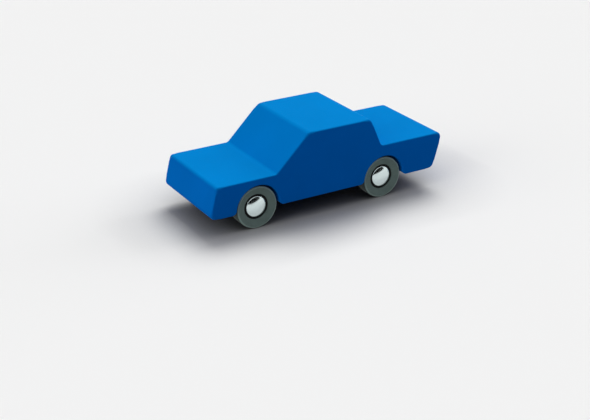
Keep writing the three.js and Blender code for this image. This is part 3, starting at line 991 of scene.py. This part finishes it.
    def rounding(self, start: Vector, end: Vector) -> float:
        """Gives the radius that sanding leaves on an edge.

        Args:
            start: The edge's first end.
            end: Its other end.

        Returns:
            The radius, which is zero off the flat sides and largest at the outer corners.
        """
        middle = (start + end) / 2
        if abs(middle.y) < self.left - WELD:
            return 0.0
        nearness = 0.0
        for corner, tangent in self.outer_corners:
            away = math.hypot(middle.x - corner.x, middle.z - corner.z) - tangent
            nearness = max(nearness, min(1.0, 1 - away / self.sanded_reach))
        eased = nearness * nearness * (3 - 2 * nearness)  # level at both ends of its run
        return self.edge_radius + (self.sanded_radius - self.edge_radius) * eased

    def sand(self, block: Object) -> None:
        """Rounds the edges round both flat sides, arches included, and the outer corners more.

        Args:
            block: The block, sawn and cut.
        """
        points = [vertex.co for vertex in block.data.vertices]
        radii = [self.rounding(*(points[i] for i in edge.vertices)) for edge in block.data.edges]
        weights = block.data.attributes.new("bevel_weight_edge", "FLOAT", "EDGE")
        weights.data.foreach_set("value", [radius / self.sanded_radius for radius in radii])
        apply_modifier(
            block,
            "BEVEL",
            limit_method="WEIGHT",
            width=self.sanded_radius,
            segments=self.edge_steps,
            use_clamp_overlap=False,
        )

    def mark_tops(self, block: Object, name: str) -> None:
        """Notes on each face how far it looks up, for the paint's painted light on those faces."""
        mark = block.data.attributes.new(name, "FLOAT", "FACE")
        mark.data.foreach_set("value", [max(0.0, face.normal.z) for face in block.data.polygons])

    def build(self, workshop: Workshop) -> None:
        """Saws, cuts, sands and paints the body.

        Args:
            workshop: What dresses the body and sets it on the frame.
        """
        block = self.block()
        for end, side in itertools.product(End, Side):
            carve(block, self.well_cutter(end, side))
        carve(block, self.slot_cutter(End.FRONT, self.sleeve_slot))
        carve(block, self.slot_cutter(End.REAR, self.axle_slot))
        carve(block, self.pocket_cutter())
        self.sand(block)
        smooth(block)
        paint = SatinPaint()
        self.mark_tops(block, paint.top_mark)
        workshop.stand_for(block, "car_body", paint)


# Wheels and axles


@dataclass
class WheelPattern:
    """The pieces of one wheel, modelled at the front left and copied to all four places.

    Sections have the radius along X and the wheel's axis along Y.
    """

    tyre_opening: float = 7.2 * MM
    tyre_shoulder: float = 0.9 * MM
    tyre_dish: float = 1.1 * MM  # how far the faces fall from their shoulders to the opening
    tyre_lip: float = 1.2 * MM
    lip_height: float = 1.4 * MM
    lip_round: float = 0.55 * MM
    groove_round: float = 0.2 * MM
    collar_wall: float = 0.5 * MM
    collar_inset: float = 0.3 * MM  # behind the edge of the tyre's opening
    collar_round: float = 0.15 * MM
    hub_dish: float = 2.2 * MM
    hub_boss: float = 3 * MM
    hub_round: float = 0.25 * MM
    hub_bore: float = 1.65 * MM
    cap_wall: float = 0.6 * MM
    cap_gap: float = 0.3 * MM
    cap_sphere: float = 12 * MM  # radius of the dome
    cap_edge: float = 0.95 * MM

    def __post_init__(self) -> None:
        """Takes the wheel's place and the boxes of its pieces from the frame."""
        self.centre = axle_place(End.FRONT)
        self.boxes = {piece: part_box(f"front_left_{piece.value}") for piece in WheelPiece}

    def radius(self, piece: WheelPiece) -> float:
        """Gives a piece's outer radius."""
        low, high = self.boxes[piece]
        return (high.z - low.z) / 2

    def at(self, radius: float, y: float) -> Vector:
        """Gives the place of a section's point."""
        return Vector((self.centre.x + radius, y, self.centre.z))

    def section(self, name: str, points: list[tuple[float, float, float]]) -> Pen:
        """Draws a closed section from radius, Y and rounding of each corner."""
        corners = [Corner(self.at(radius, y), rounding) for radius, y, rounding in points]
        return rounded_outline(name, corners, PLAN_VIEW)

    def tyre(self) -> Object:
        """Makes the rubber ring, whose faces run from rounded shoulders down to two inner lips.

        Returns:
            The tyre.
        """
        low, high = self.boxes[WheelPiece.TYRE]
        outer = self.radius(WheelPiece.TYRE)
        groove = self.tyre_opening + self.lip_height
        run = outer - self.tyre_shoulder - self.tyre_opening
        fall = self.tyre_dish - self.tyre_shoulder
        slope = math.atan2(fall, run) + math.asin(self.tyre_shoulder / math.hypot(fall, run))
        brow = (outer - self.tyre_opening) * math.tan(slope)
        inner_lip = low.y + self.tyre_dish
        outer_lip = high.y - self.tyre_dish
        pen = self.section(
            "tyre_ring",
            [
                (groove, inner_lip + self.tyre_lip, self.groove_round),
                (self.tyre_opening, inner_lip + self.tyre_lip, self.lip_round),
                (self.tyre_opening, inner_lip, self.lip_round),
                (outer, inner_lip - brow, self.tyre_shoulder),
                (outer, outer_lip + brow, self.tyre_shoulder),
                (self.tyre_opening, outer_lip, self.lip_round),
                (self.tyre_opening, outer_lip - self.tyre_lip, self.lip_round),
                (groove, outer_lip - self.tyre_lip, self.groove_round),
            ],
        )
        return pen.lathe(self.centre, WHEEL_AXIS)

    def hub(self) -> Object:
        """Makes the dished wheel centre, with a collar in the tyre's opening and a boss for the cap.

        Returns:
            The hub.
        """
        low = self.boxes[WheelPiece.HUB][0]
        tyre_low, tyre_high = self.boxes[WheelPiece.TYRE]
        rim = self.radius(WheelPiece.HUB)
        rim_gap = self.tyre_opening + self.lip_height - rim
        rim_inset = self.tyre_dish + self.tyre_lip + rim_gap
        rim_front = tyre_high.y - rim_inset
        rim_back = tyre_low.y + rim_inset
        dish = rim_front - self.hub_dish
        collar = self.tyre_opening - rim_gap
        collar_front = tyre_high.y - self.tyre_dish - self.collar_inset
        boss = self.radius(WheelPiece.CAP) - self.cap_wall - self.cap_gap
        boss_front = self.cap_shoulder() - self.cap_gap
        pen = self.section(
            "wheel_hub",
            [
                (self.hub_bore, low.y, 0),
                (self.hub_boss, low.y, self.hub_round),
                (self.hub_boss, rim_back, self.hub_round),
                (rim, rim_back, self.hub_round),
                (rim, rim_front, self.hub_round),
                (collar, rim_front, self.collar_round),
                (collar, collar_front, self.collar_round),
                (collar - self.collar_wall, collar_front, self.collar_round),
                (collar - self.collar_wall, dish, self.hub_round),
                (boss, dish, self.hub_round),
                (boss, boss_front, self.hub_round),
                (self.hub_bore, boss_front, 0),
            ],
        )
        return pen.lathe(self.centre, WHEEL_AXIS)

    def cap_slope(self) -> float:
        """Gives the slope where the cap's dome meets its rounded edge."""
        reach = self.radius(WheelPiece.CAP) - self.cap_edge
        return math.asin(reach / (self.cap_sphere - self.cap_edge))

    def cap_shoulder(self) -> float:
        """Gives the Y where the cap's rounded edge meets its skirt."""
        dome_y = self.boxes[WheelPiece.CAP][1].y - self.cap_sphere
        return dome_y + (self.cap_sphere - self.cap_edge) * math.cos(self.cap_slope())

    def cap(self) -> Object:
        """Makes the pressed cup: a dome that runs smoothly into a rounded edge and a straight skirt.

        Returns:
            The cap.
        """
        low, high = self.boxes[WheelPiece.CAP]
        outer = self.radius(WheelPiece.CAP)
        inner = outer - self.cap_wall
        slope = self.cap_slope()
        shoulder = self.cap_shoulder()
        dome_centre = self.at(0, high.y - self.cap_sphere)
        edge_centre = self.at(outer - self.cap_edge, shoulder)
        edge_turn = math.pi / 2 - slope
        pen = Pen("wheel_cap", self.at(0, high.y - self.cap_wall), PLAN_VIEW)
        pen.arc(dome_centre, -slope)
        pen.line(self.at(inner, shoulder))
        pen.line(self.at(inner, low.y))
        pen.line(self.at(outer, low.y))
        pen.line(self.at(outer, shoulder))
        pen.arc(edge_centre, edge_turn)
        pen.arc(dome_centre, slope)
        return pen.lathe(self.centre, WHEEL_AXIS)

    def move_to(self, end: End, side: Side) -> Matrix:
        """Gives the move from the front left wheel to a wheel."""
        half_turn = Matrix.Rotation(0 if side is Side.LEFT else math.pi, 4, "Z")
        return Matrix.Translation(axle_place(end)) @ half_turn @ Matrix.Translation(-self.centre)

    def finish(self, piece: WheelPiece, end: End) -> Finish:
        """Chooses a piece's finish.

        Args:
            piece: The piece of the wheel.
            end: The end of the car, whose axle the rings in rubber and plating are centred on.

        Returns:
            The finish.
        """
        if piece is WheelPiece.TYRE:
            return Rubber(axle_place(end), f"{end.value}_tyre_rubber")
        if piece is WheelPiece.CAP:
            return Chrome(axle_place(end), f"{end.value}_cap_chrome")
        return BLACK_PLASTIC

    def build(self, workshop: Workshop) -> None:
        """Makes each piece once, and copies it to its four places.

        Args:
            workshop: What dresses the pieces and sets them on the frame.
        """
        patterns = {
            WheelPiece.TYRE: self.tyre(),
            WheelPiece.HUB: self.hub(),
            WheelPiece.CAP: self.cap(),
        }
        for piece, pattern in patterns.items():
            smooth(pattern)
            for end, side in itertools.product(End, Side):
                node = f"{end.value}_{side.name.lower()}_{piece.value}"
                twin = copied(pattern, f"{node}_turned", self.move_to(end, side))
                workshop.stand_for(twin, node, self.finish(piece, end))
            bpy.data.objects.remove(pattern)


@dataclass
class Axle:
    """A plain steel rod with chamfered ends."""

    end: End
    chamfer: float = 0.3 * MM
    steps: int = 48

    def build(self, workshop: Workshop) -> None:
        """Turns the rod.

        Args:
            workshop: What dresses the rod and sets it on the frame.
        """
        node = f"{self.end.value}_axle"
        low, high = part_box(node)
        centre = axle_place(self.end)
        radius = (high.z - low.z) / 2
        neck = radius - self.chamfer
        pen = Pen(f"{node}_rod", Vector((centre.x, low.y, centre.z)), PLAN_VIEW)
        for reach, y in (
            (neck, low.y),
            (radius, low.y + self.chamfer),
            (radius, high.y - self.chamfer),
            (neck, high.y),
            (0, high.y),
        ):
            pen.line(Vector((centre.x + reach, y, centre.z)))
        rod = pen.lathe(centre, WHEEL_AXIS, self.steps)
        smooth(rod)
        workshop.stand_for(rod, node, DrawnSteel())


# Fittings under the car


@dataclass
class SoftMoulding:
    """A moulding with the broken edges of a real one, made from a copy of its plain solid."""

    node: str
    name: str
    edge: float = 0.2 * MM
    edge_steps: int = 2
    sharp_angle: float = math.radians(50)
    flat_angle: float = math.radians(1)

    def build(self, workshop: Workshop) -> None:
        """Copies the solid, merges its triangles into faces and rounds its sharp edges.

        Args:
            workshop: What dresses the moulding and sets it on the frame.
        """
        piece = copied(frame["nodes"][self.node], self.name, Matrix.Identity(4))
        open_mesh(piece)
        bpy.ops.mesh.remove_doubles(threshold=WELD)
        bpy.ops.mesh.dissolve_limited(angle_limit=self.flat_angle)
        bpy.ops.mesh.select_mode(type="EDGE")
        bpy.ops.mesh.select_all(action="DESELECT")
        bpy.ops.mesh.edges_select_sharp(sharpness=self.sharp_angle)
        bpy.ops.mesh.bevel(offset=self.edge, segments=self.edge_steps, affect="EDGES", clamp_overlap=True)
        bpy.ops.object.mode_set(mode="OBJECT")
        smooth(piece)
        workshop.stand_for(piece, self.node, BLACK_PLASTIC)


@dataclass
class PanHeadScrews:
    """The pan-head wood screws with a cross recess that hold the motor and the front axle holder."""

    nodes: tuple[str, ...] = (
        "motor_screw_rear",
        "motor_screw_front",
        "holder_screw_rear",
        "holder_screw_front",
    )
    head_height: float = 1.3 * MM
    head_edge: float = 0.75 * MM
    shank: float = 1 * MM
    tip: float = 1.6 * MM
    recess: tuple[float, float, float] = (2.2 * MM, 0.5 * MM, 0.7 * MM)  # a slot's length, width, depth
    steps: int = 48

    def pattern(self) -> Object:
        """Turns the first screw and cuts its recess.

        Returns:
            The screw.
        """
        low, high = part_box(self.nodes[0])
        centre = (low + high) / 2
        radius = (high.x - low.x) / 2
        neck = low.z + self.head_height
        bottom = Vector((centre.x, centre.y, low.z))
        face_edge = bottom + Vector((radius - self.head_edge, 0, 0))
        pen = Pen("pan_head_screw", bottom, SIDE_VIEW)
        pen.line(face_edge)
        pen.arc(face_edge + Vector((0, 0, self.head_edge)), math.pi / 2)
        for reach, z in ((radius, neck), (self.shank, neck), (self.shank, high.z - self.tip), (0, high.z)):
            pen.line(Vector((centre.x + reach, centre.y, z)))
        screw = pen.lathe(centre, PLAN_VIEW, self.steps)
        length, width, depth = self.recess
        for size in ((length, width, 2 * depth), (width, length, 2 * depth)):
            deselect_all()
            bpy.ops.mesh.primitive_cube_add(size=1, location=bottom, scale=size)
            carve(screw, bpy.context.active_object)
        smooth(screw)
        return screw

    def build(self, workshop: Workshop) -> None:
        """Makes one screw and copies it to its places.

        Args:
            workshop: What dresses the screws and sets them on the frame.
        """
        pattern = self.pattern()
        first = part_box(self.nodes[0])[0]
        for node in self.nodes:
            place = Matrix.Translation(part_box(node)[0] - first)
            workshop.stand_for(copied(pattern, f"{node}_pan_head", place), node, DrawnSteel())
        bpy.data.objects.remove(pattern)


@dataclass
class SpringMotor:
    """The spring motor: its case and cover, and the gears and pins that keep their solids' shapes."""

    gears: tuple[str, ...] = ("axle_pinion", "idler_gear", "spring_barrel")
    steel: tuple[str, ...] = ("idler_pin", "spring_arbor", "mainspring")

    def build(self, workshop: Workshop) -> None:
        """Softens the case and the cover, and dresses what is inside.

        Args:
            workshop: What dresses the pieces and sets them on the frame.
        """
        SoftMoulding("motor_case", "motor_case_tub").build(workshop)
        SoftMoulding("motor_cover", "motor_cover_plate").build(workshop)
        for node in self.gears:
            workshop.dress(node, GEAR_PLASTIC)
        for node in self.steel:
            workshop.dress(node, DrawnSteel())


# Studio


def direction(azimuth: float, elevation: float) -> Vector:
    """Gives a direction from degrees: azimuth from +X towards +Y, elevation from the floor up."""
    turn, rise = math.radians(azimuth), math.radians(elevation)
    return Vector((math.cos(turn) * math.cos(rise), math.sin(turn) * math.cos(rise), math.sin(rise)))


def aimed(name: str, data: bpy.types.ID, turn: Quaternion) -> Object:
    """Adds a lamp or a camera.

    Args:
        name: Its name.
        data: Its lamp or camera data.
        turn: The turn that aims it.

    Returns:
        The lamp or the camera, at the origin.
    """
    item = bpy.data.objects.new(name, data)
    item.rotation_mode = "QUATERNION"
    item.rotation_quaternion = turn
    bpy.context.scene.collection.objects.link(item)
    return item


@dataclass
class Lamp:
    """A wide, distant lamp: soft shadows and the same light everywhere."""

    name: str
    azimuth: float  # where it stands, in degrees from +X towards +Y
    elevation: float
    level: float  # how bright a white surface that faces it renders
    spread: float  # how wide it looks, in degrees
    colour: Colour = (1, 1, 1)

    def build(self) -> None:
        """Sets the lamp up."""
        data = bpy.data.lights.new(self.name, "SUN")
        data.energy = self.level * math.pi
        data.angle = math.radians(self.spread)
        data.color = self.colour
        aimed(self.name, data, direction(self.azimuth, self.elevation).to_track_quat("Z", "Y"))


@dataclass
class Studio:
    """A pale floor and backdrop, soft light, and a dark card for the metal to reflect."""

    floor_size: float = 8.0
    pale: Colour = (0.887, 0.887, 0.887)
    bounce: Colour = (0.3, 0.3, 0.3)  # the floor's colour for the light that it throws back
    reflected: Colour = (0.5, 0.5, 0.5)  # light that metal sees in the floor, besides its bounce
    nearness: float = 50 * MM  # how far from the car the floor is darkened by painted shadow
    felt: Colour = (0.01, 0.01, 0.01)  # the card's colour
    card_place: Vector = Vector((0.4, 1.2, 0.49))
    card_size: tuple[float, float, float] = (3.4, 1.05, 1)
    card_lean: float = math.radians(15)
    sky: Colour = (0.205, 0.205, 0.222)  # the even light from all round
    lamps: tuple[Lamp, ...] = (
        Lamp("key_lamp", -135, 55, 0.676, 36, (1, 1, 0.97)),
        Lamp("front_lamp", 0, 20, 0.389, 50, (1, 1, 0.966)),
        Lamp("rear_lamp", 180, 20, 0.344, 40, (0.96, 0.96, 1)),
    )

    def floor(self) -> None:
        """Lays the floor, which keeps the car's shadow and has painted shadow darkening it near the car,
        and which metal reflects as pale.
        """
        deselect_all()
        bpy.ops.mesh.primitive_plane_add(size=self.floor_size)
        floor = bpy.context.active_object
        floor.name = "studio_floor"
        sheet = NodeSheet("studio_floor_paint")
        path = sheet.add("ShaderNodeLightPath")
        # Painted shadow: the floor's colour darkens where the car is close above it
        painted_contact_shadow = sheet.add("ShaderNodeAmbientOcclusion")
        painted_contact_shadow.inputs["Distance"].default_value = self.nearness
        painted_contact_shadow.inputs["Color"].default_value = (*self.pale, 1)
        blend = sheet.add("ShaderNodeMix", data_type="RGBA")
        blend.inputs["A"].default_value = (*self.bounce, 1)
        sheet.tree.links.new(painted_contact_shadow.outputs["Color"], blend.inputs["B"])
        sheet.tree.links.new(path.outputs["Is Camera Ray"], blend.inputs["Factor"])
        sheet.feed("Base Color", blend.outputs["Result"])
        sheet.feed("Emission Strength", path.outputs["Is Glossy Ray"])
        sheet.set(Emission_Color=(*self.reflected, 1), Roughness=1.0, Specular_IOR_Level=0.0)
        floor.data.materials.append(sheet.material)

    def card(self) -> None:
        """Stands a dark card behind the camera, which shows only as a reflection in metal."""
        deselect_all()
        turn = (math.pi / 2, self.card_lean, 0)
        bpy.ops.mesh.primitive_plane_add(size=1, location=self.card_place, rotation=turn)
        card = bpy.context.active_object
        card.name = "studio_card"
        card.scale = self.card_size
        for ray in ("camera", "diffuse", "transmission", "volume_scatter", "shadow"):
            setattr(card, f"visible_{ray}", False)
        sheet = NodeSheet("studio_card_felt")
        sheet.set(Base_Color=(*self.felt, 1), Roughness=1.0, Specular_IOR_Level=0.0)
        card.data.materials.append(sheet.material)

    def surround(self) -> None:
        """Sets the even light from all round, behind a pale backdrop."""
        world = bpy.data.worlds.new("studio_surround")
        world.use_nodes = True
        tree = world.node_tree
        backdrop = tree.nodes["Background"]
        backdrop.inputs["Color"].default_value = (*self.pale, 1)
        light = tree.nodes.new("ShaderNodeBackground")
        light.inputs["Color"].default_value = (*self.sky, 1)
        blend = tree.nodes.new("ShaderNodeMixShader")
        path = tree.nodes.new("ShaderNodeLightPath")
        direct = tree.nodes.new("ShaderNodeMath")
        direct.operation = "MAXIMUM"
        tree.links.new(path.outputs["Is Camera Ray"], direct.inputs[0])
        tree.links.new(path.outputs["Is Glossy Ray"], direct.inputs[1])
        tree.links.new(direct.outputs[0], blend.inputs["Fac"])
        tree.links.new(light.outputs[0], blend.inputs[1])
        tree.links.new(backdrop.outputs[0], blend.inputs[2])
        tree.links.new(blend.outputs[0], tree.nodes["World Output"].inputs["Surface"])
        bpy.context.scene.world = world

    def build(self) -> None:
        """Sets up the floor, the card, the light and the colour management."""
        self.floor()
        self.card()
        self.surround()
        for lamp in self.lamps:
            lamp.build()
        bpy.context.scene.view_settings.view_transform = "Standard"


@dataclass
class PhotoCamera:
    """The camera where the photograph was taken from."""

    place: Vector = Vector((328.81, 532.05, 277.33)) * MM
    azimuth: float = 58.808  # of the way back along its view, in degrees from +X towards +Y
    pitch: float = 24.71  # how far it looks down, in degrees
    roll: float = 0.199  # in degrees
    focal_px: float = 1195.5
    frame_px: int = 590
    sensor_mm: float = 36.0
    clip_start: float = 10 * MM

    def build(self) -> None:
        """Sets the camera up."""
        data = bpy.data.cameras.new("photo_camera")
        data.sensor_width = self.sensor_mm
        data.lens = self.focal_px / self.frame_px * self.sensor_mm
        data.clip_start = self.clip_start
        level = direction(self.azimuth, self.pitch).to_track_quat("Z", "Y")
        tilt = Quaternion((0, 0, 1), math.radians(self.roll))
        camera = aimed("photo_camera", data, level @ tilt)
        camera.location = self.place
        bpy.context.scene.camera = camera


def main() -> None:
    """Builds the car's looks, the studio and the camera."""
    logging.basicConfig(level=logging.INFO, format="%(message)s")
    PhotoCamera().build()
    workshop = Workshop()
    WoodenBody().build(workshop)
    WheelPattern().build(workshop)
    for end in End:
        Axle(end).build(workshop)
    SpringMotor().build(workshop)
    SoftMoulding("front_axle_holder", "front_axle_holder_moulding").build(workshop)
    PanHeadScrews().build(workshop)
    Studio().build()
    bpy.context.view_layer.update()


if __name__ == "__main__":
    main()
